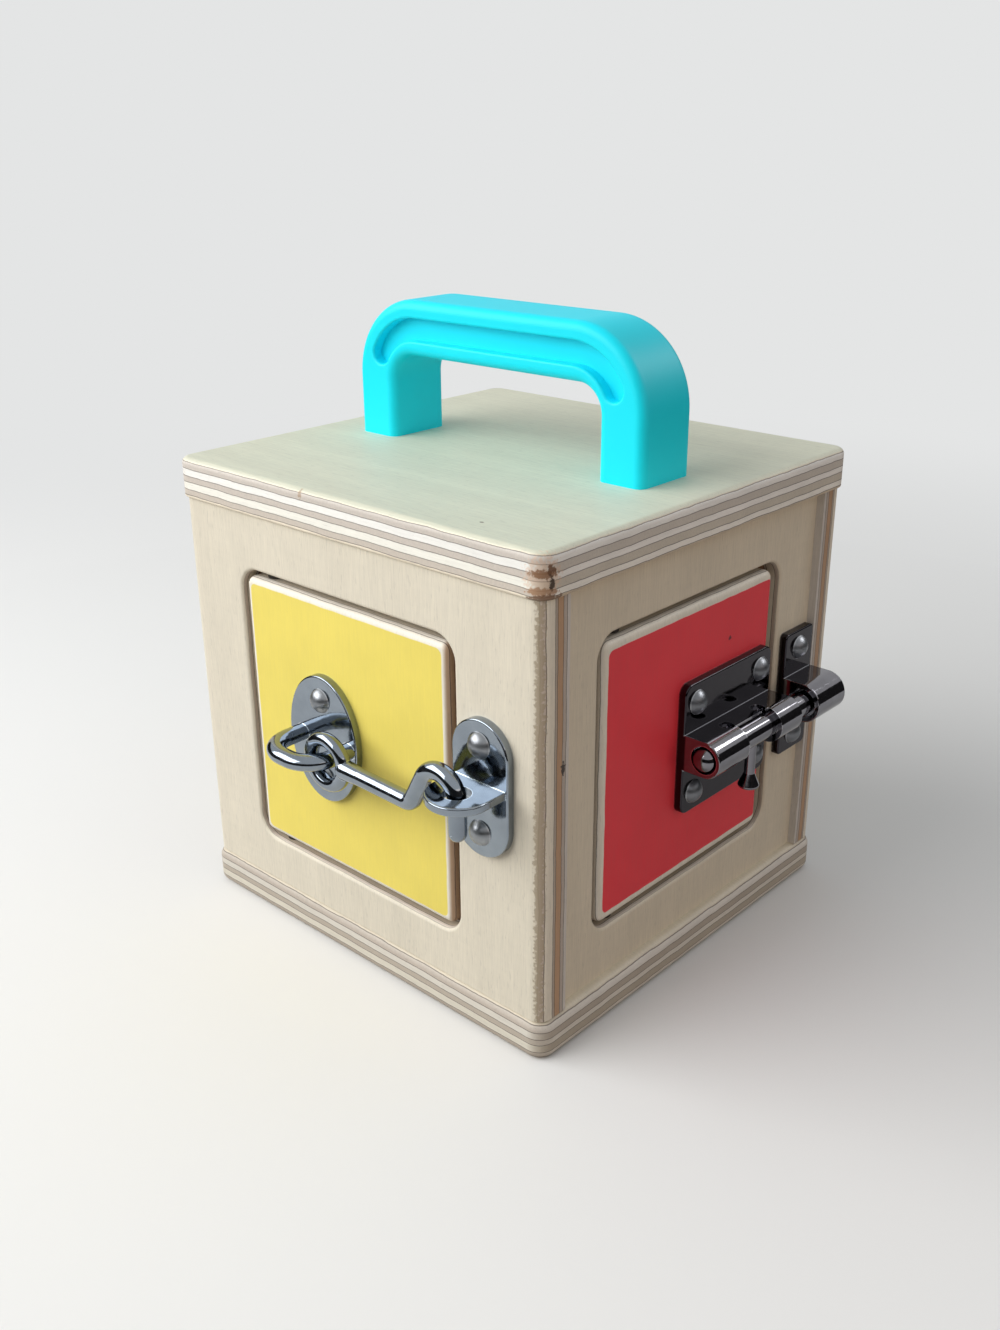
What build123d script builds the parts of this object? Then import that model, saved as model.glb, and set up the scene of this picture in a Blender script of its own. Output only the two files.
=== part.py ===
from build123d import *
import os
from math import cos, radians, sin, sqrt

# A wooden latch box: a plywood cube with a carry handle and two small doors.
# The yellow front door is held by a cabin hook, the red right door by a barrel bolt.
# Origin: centre of the underside of the base. +X runs to the right along the front,
# +Y runs from the front to the back, +Z is up. All lengths are in millimetres.

# Lid and base
box_width = 144.0
box_depth = 140.0
box_height = 144.0
lid_thickness = 12.0
base_thickness = 12.0
plate_corner_radius = 5.0
lid_edge_round = 2.0
lid_foot_round = 0.8
base_top_round = 3.0
base_foot_round = 2.5
plate_overhang = 1.0

# Upright panels
end_panel_thickness = 10.0
side_panel_thickness = 10.0
side_panel_recess = 2.5
end_panel_corner_radius = 4.0

# Windows: how far each stays from the outer faces beside it, and from the base and the lid
front_frame_left = 25.4
front_frame_right = 29.8
side_frame_left = 24.5
side_frame_right = 27.8
window_sill = 15.0
window_header = 16.8
window_corner_radius = 7.0
window_edge_round = 1.2

# Doors, flush with the panel and hung on pivots beside their left edge
door_gap = 2.2
right_door_free_gap = 4.2
door_corner_radius = 2.6
door_edge_round = 2.0
door_back_round = 0.6
stop_gap = 0.3
pivot_inset = 8.2
pivot_diameter = 3.0
pivot_depth = 8.0
pivot_running_gap = 0.08
collar_diameter = 5.0
collar_gap = 0.2
stop_width = 12.0
stop_thickness = 6.0
stop_end_inset = 14.1
stop_overlap = 3.0

# Dowels that join the panels
dowel_diameter = 6.0
dowel_length = 15.0
dowel_in_plate = 6.5
dowel_end_inset = 10.0
dowel_corner_inset = 22.0
dowel_fit = 0.05
dowel_chamfer = 0.6

# Carry handle
handle_end_inset = 16.7
handle_depth = 22.4
handle_height = 42.0
handle_leg_width = 15.4
handle_beam_height = 16.4
handle_outer_radius = 24.0
handle_inner_radius = 8.0
handle_edge_round = 2.8
groove_outer_land = 2.2
groove_inner_land = 1.0
groove_sink = 0.3
groove_bend_inset = 7.5
groove_depth = 3.5
groove_bend_angle = 60.0
groove_lip_round = 0.8
handle_screw_diameter = 4.0
handle_screw_head_diameter = 8.0
handle_screw_head_height = 2.6
handle_screw_bite = 20.0
handle_screw_gap = 0.2

# Dome-headed pins that hold the metal fittings
pin_head_diameter = 7.4
pin_head_height = 2.5
pin_diameter = 2.8
pin_bite = 6.6
pin_point = 1.6
pin_fit = 0.05

# Cabin hook: staple plate on the door
staple_shift = -7.8
staple_rise = 0.4
staple_plate_width = 28.6
staple_plate_height = 39.0
fitting_thickness = 2.4
fitting_edge_round = 0.5
staple_pin_inset = 7.3
loop_wire_height = 4.8
loop_wire_width = 5.6
loop_half_width = 9.85
loop_shift = 1.25
loop_corner_radius = 8.6
loop_reach = 16.7

# Cabin hook: the hook itself
hook_wire_diameter = 5.0
loop_end_room = 6.1
eye_radius = 6.7
eye_wire_diameter = 4.2
eye_gap = 0.8
neck_diameter = 5.8
neck_length = 6.0
shank_drop = 0.6
shank_corner_radius = 3.0
rise_angle = 62.0
arch_height = 3.9
tip_reach = 11.4
hook_shelf_gap = 0.3

# Cabin hook: keeper on the frame
hook_keeper_width = 19.4
hook_keeper_height = 39.0
hook_keeper_inset = 1.0
hook_keeper_rise = 6.3
hook_keeper_pin_inset = 6.9
shelf_width = 18.0
shelf_rise = 1.0
shelf_edge_round = 0.5
shelf_hole_shift = 0.8
hook_hole_gap = 1.35

# Barrel bolt: plate and barrel on the door
bolt_plate_width = 43.5
bolt_plate_height = 40.2
bolt_plate_corner_radius = 3.0
bolt_thickness = 2.5
bolt_margin = 1.9
bolt_rise = -0.6
bolt_pin_inset_across = 5.75
bolt_pin_inset_up = 6.1
bolt_stand_off = 9.2
barrel_radius = 5.5
barrel_mouth_length = 15.0
barrel_band_length = 11.5
barrel_notch_radius = 2.2
barrel_notch_overlap = 0.9
barrel_lip = 0.2
barrel_end_round = 0.4
mouth_bore_diameter = 8.4
mouth_bore_depth = 4.0
rod_diameter = 7.5
rod_running_gap = 0.1
rod_stick_out = 2.2
rod_engagement = 7.5
rod_end_round = 3.5
knob_rest_gap = 7.4
knob_side_gap = 0.2
knob_stem_diameter = 3.2
knob_drop = 17.6
knob_flare_height = 4.6
knob_flare_diameter = 7.2
knob_foot_round = 0.8
knob_fit = 0.05

# Barrel bolt: keeper on the frame
bolt_keeper_width = 15.4
bolt_keeper_height = 40.2
bolt_keeper_corner_radius = 1.5
bolt_keeper_edge_gap = 0.1
bolt_keeper_pin_inset = 5.7
bolt_keeper_radius = 6.2
bolt_keeper_rod_gap = 0.85

# How far a cutting shape runs past the face that it cuts
overrun = 1.0

# Places worked out from the sizes above
wall_height = box_height - lid_thickness - base_thickness
lid_underside = box_height - lid_thickness
wall_middle = base_thickness + wall_height / 2
end_half_width = box_width / 2 - plate_overhang
front_face = box_depth / 2 - plate_overhang
side_face = end_half_width - side_panel_recess
side_span = 2 * (front_face - end_panel_thickness)
window_foot = base_thickness + window_sill
window_head = lid_underside - window_header
door_middle = (window_foot + window_head) / 2
door_height = window_head - window_foot - 2 * door_gap
pivot_from_window = door_gap + pivot_inset

# Left and right edge of each window, in its face's own frame
front_window = (front_frame_left - end_half_width, end_half_width - front_frame_right)
side_window = (side_frame_left - front_face, front_face - side_frame_right)

# The two faces with doors. In each, x runs to the right, y up and z out of the wood.
front_plane = Plane(origin=(0, -front_face, 0), x_dir=(1, 0, 0), z_dir=(0, -1, 0))
right_plane = Plane(origin=(side_face, 0, 0), x_dir=(0, 1, 0), z_dir=(1, 0, 0))
back_plane = Plane(origin=(0, front_face, 0), x_dir=(-1, 0, 0), z_dir=(0, 1, 0))
left_plane = Plane(origin=(-side_face, 0, 0), x_dir=(0, -1, 0), z_dir=(-1, 0, 0))

FROM_START = (Align.CENTER, Align.CENTER, Align.MIN)


def bar(start, direction, diameter, length):
    """A round bar that starts at a point and runs along a direction."""
    return Plane(origin=start, z_dir=direction) * Cylinder(diameter / 2, length, align=FROM_START)


def group(solids):
    """Separate solids kept together in one node."""
    return Compound(children=list(solids))


def rounded_plate(thickness, bottom, top_round, bottom_round):
    """The lid or the base: a plywood plate with round corners and sanded edges."""
    outline = RectangleRounded(box_width, box_depth, plate_corner_radius)
    plate = Pos(0, 0, bottom) * extrude(outline, amount=thickness)
    plate = fillet(plate.edges().group_by(Axis.Z)[-1], top_round)
    return fillet(plate.edges().group_by(Axis.Z)[0], bottom_round)


def wall(width, thickness, corner_radius):
    """An upright panel in its face's own frame, its outer face at z = 0."""
    panel = Pos(0, wall_middle, -thickness / 2) * Box(width, wall_height, thickness)
    if corner_radius > 0:
        outer_edges = panel.edges().filter_by(Axis.Y).group_by(Axis.Z)[-1]
        panel = fillet(outer_edges, corner_radius)
    return panel


def pivot_holes(window, thickness, diameter, ends):
    """The two upright holes that the door's pivots sit in."""
    across = window[0] + pivot_from_window
    depth = pivot_depth + overrun
    holes = []
    for edge, direction in ends:
        start = (across, edge - direction * overrun, -thickness / 2)
        holes.append(bar(start, (0, direction, 0), diameter, depth))
    return holes


def cut_window(panel, window, thickness):
    """Cut the door's window and its pivot holes through a panel."""
    left, right = window
    outline = RectangleRounded(right - left, window_head - window_foot, window_corner_radius)
    place = Pos((left + right) / 2, door_middle, -thickness - overrun)
    panel -= extrude(place * outline, amount=thickness + 2 * overrun)
    mouth = panel.faces().sort_by(Axis.Z)[-1].inner_wires()[0]
    panel = fillet(mouth.edges(), window_edge_round)
    ends = ((window_foot, -1), (window_head, 1))
    for hole in pivot_holes(window, thickness, pivot_diameter, ends):
        panel -= hole
    return panel


def make_door(window, thickness, free_gap):
    """A door in its face's own frame, flush with the panel; free_gap is beside its free edge."""
    left, right = window[0] + door_gap, window[1] - free_gap
    outline = RectangleRounded(right - left, door_height, door_corner_radius)
    place = Pos((left + right) / 2, door_middle, 0)
    door = extrude(place * outline, amount=-(thickness - stop_gap))
    door = fillet(door.edges().group_by(Axis.Z)[-1], door_edge_round)
    door = fillet(door.edges().group_by(Axis.Z)[0], door_back_round)
    bore = pivot_diameter + 2 * pivot_running_gap
    ends = ((window_foot + door_gap, 1), (window_head - door_gap, -1))
    for hole in pivot_holes(window, thickness, bore, ends):
        door -= hole
    return door


def make_pivots(window, thickness):
    """The two steel pivots, each with a collar that fills the gap at the door's end."""
    across = window[0] + pivot_from_window
    pivots = []
    for edge, direction in ((window_foot, 1), (window_head, -1)):
        start = (across, edge - direction * pivot_depth, -thickness / 2)
        length = 2 * pivot_depth + door_gap - collar_gap
        pin = bar(start, (0, direction, 0), pivot_diameter, length)
        collar_start = (across, edge, -thickness / 2)
        pin += bar(collar_start, (0, direction, 0), collar_diameter, door_gap - collar_gap)
        pivots.append(pin)
    return group(pivots)


def make_stop(window, thickness, free_gap):
    """The strip glued behind the frame that the closed door leans on."""
    across = window[1] - free_gap - stop_overlap + stop_width / 2
    place = Pos(across, door_middle, -thickness - stop_thickness / 2)
    length = window_head - window_foot - 2 * stop_end_inset
    return place * Box(stop_width, length, stop_thickness)


def make_pin(place, plate_thickness):
    """A dome-headed pin through a metal plate into the wood behind it."""
    x, y = place
    head_radius = pin_head_diameter / 2
    ball_radius = (head_radius**2 + pin_head_height**2) / (2 * pin_head_height)
    ball = Pos(0, 0, pin_head_height - ball_radius) * Sphere(ball_radius)
    head = ball & Cylinder(head_radius, pin_head_height, align=FROM_START)
    reach = plate_thickness + pin_bite
    shank = bar((0, 0, 0), (0, 0, -1), pin_diameter, reach - pin_point)
    point = Pos(0, 0, -reach) * Cone(0, pin_diameter / 2, pin_point, align=FROM_START)
    return Pos(x, y, plate_thickness) * (head + shank + point)


def make_pins(places, plate_thickness):
    """All the pins of one fitting."""
    return group(make_pin(place, plate_thickness) for place in places)


def drill(piece, places, front, depth):
    """Drill a hole for each pin of a fitting."""
    for x, y in places:
        start = (x, y, front + overrun)
        piece -= bar(start, (0, 0, -1), pin_diameter + 2 * pin_fit, depth + overrun)
    return piece


def soften(plate):
    """Round the front edge of a metal plate."""
    return fillet(plate.faces().sort_by(Axis.Z)[-1].outer_wire().edges(), fitting_edge_round)


# The cabin hook. Its places are in the front face's own frame.
staple_x = (front_window[0] + front_window[1]) / 2 + staple_shift
staple_y = door_middle + staple_rise
staple_pin_reach = staple_plate_height / 2 - staple_pin_inset
staple_pins = [(staple_x, staple_y + side * staple_pin_reach) for side in (-1, 1)]
hook_keeper_x = front_window[1] + hook_keeper_inset + hook_keeper_width / 2
hook_keeper_y = door_middle + hook_keeper_rise
hook_keeper_pin_reach = hook_keeper_height / 2 - hook_keeper_pin_inset
hook_keeper_pins = [
    (hook_keeper_x, hook_keeper_y + side * hook_keeper_pin_reach) for side in (-1, 1)
]

# The eye hangs round the loop's right side, where the loop has begun to bend
hook_wire_radius = hook_wire_diameter / 2
hook_stand_off = loop_reach - loop_end_room
loop_x = staple_x + loop_shift
loop_bend_rise = max(hook_stand_off - loop_reach + loop_corner_radius, 0)
loop_bend_in = loop_corner_radius - sqrt(loop_corner_radius**2 - loop_bend_rise**2)
eye_slack = eye_radius - eye_wire_diameter / 2 - loop_wire_width / 2 - eye_gap
eye_x = loop_x + loop_half_width - loop_bend_in + eye_slack

# The shelf and the hole in it
shelf_middle = hook_keeper_y + shelf_rise
shelf_top = shelf_middle + fitting_thickness / 2

# The hook rises beside the shelf, arches over its rim and drops through its hole
rise_sin = sin(radians(rise_angle))
rise_cos = cos(radians(rise_angle))
rise_x = hook_keeper_x - shelf_width / 2 - hook_shelf_gap - hook_wire_radius / rise_sin
arch_span = hook_keeper_x - rise_x - arch_height * rise_cos / rise_sin
arch_radius = arch_span / (1 + rise_sin - (1 - rise_cos) * rise_cos / rise_sin)
arch_start_x = hook_keeper_x - arch_radius * (1 + rise_sin)
arch_start_y = shelf_top + arch_height - arch_radius * (1 - rise_cos)
shank_end_y = staple_y - shank_drop
shank_end_x = rise_x - (shelf_top - shank_end_y) * rise_cos / rise_sin
tip_y = shelf_middle - fitting_thickness / 2 - tip_reach


def make_staple_plate():
    """The oval plate with the thick loop that carries the hook."""
    oval = Pos(staple_x, staple_y) * Ellipse(staple_plate_width / 2, staple_plate_height / 2)
    plate = soften(extrude(oval, amount=fitting_thickness))
    plate = drill(plate, staple_pins, fitting_thickness, fitting_thickness + overrun)
    foot = fitting_thickness / 2
    left = loop_x - loop_half_width
    right = loop_x + loop_half_width
    loop_path = FilletPolyline(
        (left, staple_y, foot),
        (left, staple_y, loop_reach),
        (right, staple_y, loop_reach),
        (right, staple_y, foot),
        radius=loop_corner_radius,
    )
    start = Plane(origin=loop_path @ 0, x_dir=(1, 0, 0), z_dir=loop_path % 0)
    section = start * Ellipse(loop_wire_width / 2, loop_wire_height / 2)
    return plate + sweep(section, path=loop_path)


def make_hook():
    """The hook: an eye with a neck, a straight shank, and an arch that ends in the tip."""
    eye = Pos(eye_x, staple_y, 0) * Torus(eye_radius, eye_wire_diameter / 2)
    neck_x = eye_x + eye_radius + (neck_diameter - eye_wire_diameter) / 2
    shank = FilletPolyline(
        (neck_x, staple_y),
        (shank_end_x, shank_end_y),
        (arch_start_x, arch_start_y),
        radius=shank_corner_radius,
    )
    arch = JernArc(
        start=(arch_start_x, arch_start_y),
        tangent=(rise_cos, rise_sin),
        radius=arch_radius,
        arc_size=-(90 + rise_angle),
    )
    tip_centre = (hook_keeper_x, tip_y + hook_wire_radius)
    hook_path = shank + arch + Line(arch @ 1, tip_centre)
    start = Plane(origin=hook_path @ 0, z_dir=hook_path % 0)
    bent_bar = sweep(start * Circle(hook_wire_radius), path=hook_path)
    bent_bar += Pos(*tip_centre) * Sphere(hook_wire_radius)
    neck = Cone(neck_diameter / 2, hook_wire_radius, neck_length, align=FROM_START)
    bent_bar += start * (neck + Sphere(neck_diameter / 2))
    return Pos(0, 0, hook_stand_off) * (eye + bent_bar)


def make_hook_keeper():
    """The round-ended plate whose shelf has the hole for the hook's tip."""
    place = Pos(hook_keeper_x, hook_keeper_y) * Rot(0, 0, 90)
    plate = extrude(place * SlotOverall(hook_keeper_height, hook_keeper_width), fitting_thickness)
    plate = drill(soften(plate), hook_keeper_pins, fitting_thickness, fitting_thickness + overrun)
    foot = fitting_thickness / 2
    shelf_place = Plane(origin=(hook_keeper_x, shelf_middle, 0), x_dir=(1, 0, 0), z_dir=(0, -1, 0))
    round_place = hook_stand_off - shelf_hole_shift
    straight = round_place - foot
    outline = Pos(0, foot + straight / 2) * Rectangle(shelf_width, straight)
    outline += Pos(0, round_place) * Circle(shelf_width / 2)
    outline -= Pos(0, hook_stand_off) * Circle(hook_wire_radius + hook_hole_gap)
    shelf = extrude(shelf_place * outline, amount=fitting_thickness / 2, both=True)
    rims = [shelf.faces().sort_by(Axis.Y)[side].outer_wire().edges() for side in (0, -1)]
    shelf = fillet(rims[0] + rims[1], shelf_edge_round)
    return plate + shelf


# The barrel bolt. Its places are in the right face's own frame.
bolt_right = side_window[1] - right_door_free_gap - bolt_margin
bolt_left = bolt_right - bolt_plate_width
bolt_x = (bolt_left + bolt_right) / 2
bolt_y = door_middle + bolt_rise
bolt_pin_reach_across = bolt_plate_width / 2 - bolt_pin_inset_across
bolt_pin_reach_up = bolt_plate_height / 2 - bolt_pin_inset_up
bolt_pins = [
    (bolt_x + across * bolt_pin_reach_across, bolt_y + up * bolt_pin_reach_up)
    for across in (-1, 1)
    for up in (-1, 1)
]
barrel_window_left = bolt_left + barrel_mouth_length
barrel_window_right = bolt_right - barrel_band_length
barrel_window_floor = bolt_stand_off - knob_stem_diameter / 2 - knob_side_gap
bolt_keeper_x = side_span / 2 - bolt_keeper_edge_gap - bolt_keeper_width / 2
bolt_keeper_left = bolt_keeper_x - bolt_keeper_width / 2
bolt_keeper_pin_reach = bolt_keeper_height / 2 - bolt_keeper_pin_inset
bolt_keeper_pins = [(bolt_keeper_x, bolt_y + side * bolt_keeper_pin_reach) for side in (-1, 1)]
rod_left = bolt_left - rod_stick_out
rod_length = bolt_keeper_left + rod_engagement - rod_left
knob_x = barrel_window_right - knob_rest_gap


def arch_bar(left, length, radius):
    """A bar of metal with a half-round front, standing on the plate beside it."""
    section_plane = Plane(origin=(left, bolt_y, 0), x_dir=(0, 0, 1), z_dir=(1, 0, 0))
    outline = Pos(bolt_stand_off / 2, 0) * Rectangle(bolt_stand_off, 2 * radius)
    outline += Pos(bolt_stand_off, 0) * Circle(radius)
    solid = extrude(section_plane * outline, amount=length)
    rims = [solid.faces().sort_by(Axis.X)[side].outer_wire().edges() for side in (0, -1)]
    return fillet(rims[0] + rims[1], barrel_end_round)


def make_bolt_plate(x, width, height, corner_radius):
    """A flat plate with round corners under a barrel or a keeper."""
    outline = Pos(x, bolt_y) * RectangleRounded(width, height, corner_radius)
    return soften(extrude(outline, amount=bolt_thickness))


def make_bolt_housing():
    """The bolt's plate with the barrel that guides the rod and the window for its knob."""
    plate = make_bolt_plate(bolt_x, bolt_plate_width, bolt_plate_height, bolt_plate_corner_radius)
    plate = drill(plate, bolt_pins, bolt_thickness, bolt_thickness + overrun)
    housing = plate + arch_bar(bolt_left, bolt_plate_width, barrel_radius)
    bore_start = (bolt_left - overrun, bolt_y, bolt_stand_off)
    bore_diameter = rod_diameter + 2 * rod_running_gap
    housing -= bar(bore_start, (1, 0, 0), bore_diameter, bolt_plate_width + 2 * overrun)
    mouth_reach = mouth_bore_depth + overrun
    housing -= bar(bore_start, (1, 0, 0), mouth_bore_diameter, mouth_reach)
    window_length = barrel_window_right - barrel_window_left
    window_x = (barrel_window_left + barrel_window_right) / 2
    window_side = barrel_radius + overrun
    window_front = bolt_stand_off + barrel_radius + overrun
    for side, floor in ((-1, barrel_window_floor), (1, bolt_stand_off + barrel_lip)):
        opening = Box(window_length, window_side, window_front - floor)
        middle = (floor + window_front) / 2
        housing -= Pos(window_x, bolt_y + side * window_side / 2, middle) * opening
    for notch_x in (
        barrel_window_left - barrel_notch_radius + barrel_notch_overlap,
        barrel_window_right - barrel_notch_radius,
    ):
        notch_start = (notch_x, bolt_y, barrel_window_floor)
        housing -= bar(notch_start, (0, 1, 0), 2 * barrel_notch_radius, window_side)
    return housing


def make_rod():
    """The sliding rod, with domed ends and the hole that the knob screws into."""
    rod = bar((rod_left, bolt_y, bolt_stand_off), (1, 0, 0), rod_diameter, rod_length)
    ends = rod.edges().filter_by(GeomType.CIRCLE)
    rod = fillet(ends, rod_end_round)
    hole_diameter = knob_stem_diameter + 2 * knob_fit
    return rod - bar((knob_x, bolt_y, bolt_stand_off), (0, -1, 0), hole_diameter, rod_diameter)


def make_knob():
    """The knob that hangs from the rod: a stem with a flared foot."""
    stem_length = knob_drop - knob_flare_height
    stem = bar((0, 0, 0), (0, 0, 1), knob_stem_diameter, stem_length)
    flare = Pos(0, 0, stem_length) * Cone(
        knob_stem_diameter / 2, knob_flare_diameter / 2, knob_flare_height, align=FROM_START
    )
    flare = fillet(flare.edges().group_by(Axis.Z)[-1], knob_foot_round)
    place = Plane(origin=(knob_x, bolt_y, bolt_stand_off), z_dir=(0, -1, 0))
    return place * (stem + flare)


def make_bolt_keeper():
    """The bolt's keeper: a narrow plate with a short barrel that takes the rod's end."""
    keeper = make_bolt_plate(
        bolt_keeper_x, bolt_keeper_width, bolt_keeper_height, bolt_keeper_corner_radius
    )
    keeper = drill(keeper, bolt_keeper_pins, bolt_thickness, bolt_thickness + overrun)
    keeper += arch_bar(bolt_keeper_left, bolt_keeper_width, bolt_keeper_radius)
    start = (bolt_keeper_left - overrun, bolt_y, bolt_stand_off)
    bore = rod_diameter + 2 * bolt_keeper_rod_gap
    return keeper - bar(start, (1, 0, 0), bore, bolt_keeper_width + 2 * overrun)


# The carry handle. Its groove keeps in the middle of the flat side.
handle_length = box_width - 2 * handle_end_inset
groove_edge = handle_edge_round + groove_outer_land
groove_width = handle_leg_width - groove_edge - groove_inner_land - handle_edge_round
groove_bend_radius = handle_outer_radius - groove_bend_inset
groove_reach = handle_length / 2 - groove_edge - groove_width / 2 - groove_bend_radius
groove_y = handle_height - handle_beam_height / 2 - groove_sink


def make_handle():
    """The moulded carry handle, with a groove along its front and back."""
    outer = Pos(0, handle_height / 2) * Rectangle(handle_length, handle_height)
    outer = fillet(outer.vertices().group_by(Axis.Y)[-1], handle_outer_radius)
    inner_width = handle_length - 2 * handle_leg_width
    inner_height = handle_height - handle_beam_height
    inner = Pos(0, inner_height / 2) * Rectangle(inner_width, inner_height)
    inner = fillet(inner.vertices().group_by(Axis.Y)[-1], handle_inner_radius)
    body = extrude(Plane.XZ * (outer - inner), amount=handle_depth / 2, both=True)
    for side in (0, -1):
        rim = body.edges().group_by(Axis.Y)[side].filter_by(lambda edge: edge.center().Z > 0)
        body = fillet(rim, handle_edge_round)
    groove = Pos(0, groove_y) * Rectangle(2 * groove_reach, groove_width)
    for side in (-1, 1):
        first_angle = 90 if side < 0 else 90 - groove_bend_angle
        bend = CenterArc(
            (side * groove_reach, groove_y - groove_bend_radius),
            groove_bend_radius,
            first_angle,
            groove_bend_angle,
        )
        groove += SlotArc(bend, groove_width)
    for side in (-1, 1):
        face_y = side * handle_depth / 2
        floor_y = face_y - side * groove_depth
        floor_plane = Plane.XZ.offset(-floor_y)
        body -= extrude(floor_plane * groove, amount=-side * (groove_depth + overrun))
    for side in (0, -1):
        lip = body.faces().sort_by(Axis.Y)[side].inner_wires()[0]
        body = fillet(lip.edges(), groove_lip_round)
    for screw_x in handle_screw_places():
        hole_depth = handle_screw_bite + 2 * overrun
        body -= bar((screw_x, 0, -overrun), (0, 0, 1), handle_screw_diameter, hole_depth)
    return Pos(0, 0, box_height) * body


def handle_screw_places():
    """Where the two screws stand: in the middle of each leg."""
    leg_middle = (handle_length - handle_leg_width) / 2
    return (-leg_middle, leg_middle)


def make_handle_screws():
    """The two screws that come up through the lid into the handle's legs."""
    screws = []
    for screw_x in handle_screw_places():
        length = lid_thickness + handle_screw_bite
        screw = bar((screw_x, 0, lid_underside), (0, 0, 1), handle_screw_diameter, length)
        head = bar(
            (screw_x, 0, lid_underside), (0, 0, -1), handle_screw_head_diameter, handle_screw_head_height
        )
        head = fillet(head.edges().group_by(Axis.Z)[0], handle_screw_head_height / 3)
        screws.append(screw + head)
    return group(screws)


# Dowels: where each starts and which way it runs
end_wall_middle = front_face - end_panel_thickness / 2
side_wall_middle = side_face - side_panel_thickness / 2
end_dowel_x = end_half_width - dowel_corner_inset
side_dowel_y = side_span / 2 - dowel_end_inset
wall_dowel_places = [(x, y * end_wall_middle) for x in (-end_dowel_x, end_dowel_x) for y in (-1, 1)]
wall_dowel_places += [(x * side_wall_middle, y) for x in (-1, 1) for y in (-side_dowel_y, side_dowel_y)]
base_dowels = [((x, y, base_thickness - dowel_in_plate), (0, 0, 1)) for x, y in wall_dowel_places]
lid_dowels = [((x, y, lid_underside + dowel_in_plate), (0, 0, -1)) for x, y in wall_dowel_places]
corner_heights = (
    base_thickness + dowel_corner_inset,
    wall_middle,
    lid_underside - dowel_corner_inset,
)
corner_dowels = [
    ((x * side_wall_middle, y * (side_span / 2 + dowel_in_plate), z), (0, -y, 0))
    for x in (-1, 1)
    for y in (-1, 1)
    for z in corner_heights
]


def make_dowels(places):
    """A set of wooden dowels with bevelled ends."""
    dowels = []
    for start, direction in places:
        dowel = bar(start, direction, dowel_diameter, dowel_length)
        dowels.append(chamfer(dowel.edges().filter_by(GeomType.CIRCLE), dowel_chamfer))
    return group(dowels)


def cut_dowel_holes(piece, places):
    """Cut the holes that a set of dowels sits in."""
    for start, direction in places:
        back = tuple(s - d * dowel_fit for s, d in zip(start, direction))
        hole_diameter = dowel_diameter + 2 * dowel_fit
        piece -= bar(back, direction, hole_diameter, dowel_length + 2 * dowel_fit)
    return piece


def make_parts():
    """Every piece of the box, by name."""
    lid = rounded_plate(lid_thickness, lid_underside, lid_edge_round, lid_foot_round)
    for screw_x in handle_screw_places():
        hole_diameter = handle_screw_diameter + 2 * handle_screw_gap
        start = (screw_x, 0, lid_underside - overrun)
        lid -= bar(start, (0, 0, 1), hole_diameter, lid_thickness + 2 * overrun)
    base = rounded_plate(base_thickness, 0, base_top_round, base_foot_round)

    plain_end = wall(2 * end_half_width, end_panel_thickness, end_panel_corner_radius)
    plain_side = wall(side_span, side_panel_thickness, 0)
    front = cut_window(plain_end, front_window, end_panel_thickness)
    front = drill(front, hook_keeper_pins, 0, pin_bite)
    right = cut_window(plain_side, side_window, side_panel_thickness)
    right = drill(right, bolt_keeper_pins, 0, pin_bite)
    front_door = make_door(front_window, end_panel_thickness, door_gap)
    front_door = drill(front_door, staple_pins, 0, pin_bite)
    right_door = make_door(side_window, side_panel_thickness, right_door_free_gap)
    right_door = drill(right_door, bolt_pins, 0, pin_bite)

    on_front = {
        "front_panel": front,
        "front_door": front_door,
        "front_door_pivots": make_pivots(front_window, end_panel_thickness),
        "front_door_stop": make_stop(front_window, end_panel_thickness, door_gap),
        "hook_staple_plate": make_staple_plate(),
        "hook_staple_pins": make_pins(staple_pins, fitting_thickness),
        "cabin_hook": make_hook(),
        "hook_keeper": make_hook_keeper(),
        "hook_keeper_pins": make_pins(hook_keeper_pins, fitting_thickness),
    }
    on_right = {
        "right_panel": right,
        "right_door": right_door,
        "right_door_pivots": make_pivots(side_window, side_panel_thickness),
        "right_door_stop": make_stop(side_window, side_panel_thickness, right_door_free_gap),
        "bolt_housing": make_bolt_housing(),
        "bolt_housing_pins": make_pins(bolt_pins, bolt_thickness),
        "bolt_rod": make_rod(),
        "bolt_knob": make_knob(),
        "bolt_keeper": make_bolt_keeper(),
        "bolt_keeper_pins": make_pins(bolt_keeper_pins, bolt_thickness),
    }
    parts = {name: front_plane.location * piece for name, piece in on_front.items()}
    parts.update({name: right_plane.location * piece for name, piece in on_right.items()})
    parts["back_panel"] = back_plane.location * plain_end
    parts["left_panel"] = left_plane.location * plain_side
    parts["lid_panel"] = lid
    parts["base_panel"] = base

    joined = {
        "base_panel": base_dowels,
        "lid_panel": lid_dowels,
        "front_panel": base_dowels + lid_dowels + corner_dowels,
        "back_panel": base_dowels + lid_dowels + corner_dowels,
        "left_panel": base_dowels + lid_dowels + corner_dowels,
        "right_panel": base_dowels + lid_dowels + corner_dowels,
    }
    for name, places in joined.items():
        parts[name] = cut_dowel_holes(parts[name], places)

    parts["base_dowels"] = make_dowels(base_dowels)
    parts["lid_dowels"] = make_dowels(lid_dowels)
    parts["corner_dowels"] = make_dowels(corner_dowels)
    parts["carry_handle"] = make_handle()
    parts["handle_screws"] = make_handle_screws()
    return parts


os.makedirs("parts", exist_ok=True)
for part_name, part_shape in make_parts().items():
    export_step(part_shape, f"parts/{part_name}.step")
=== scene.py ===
# %% [markdown]
# # A wooden latch box
# A plywood cube with a cyan carrying handle, a yellow door held by a cabin hook, and a red door
# held by a barrel bolt. The solids come from the CAD model, in metres, with +Z up and the front
# towards -Y. This lesson gives each of them the finish of the real one and sets up a small studio.

import math

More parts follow.
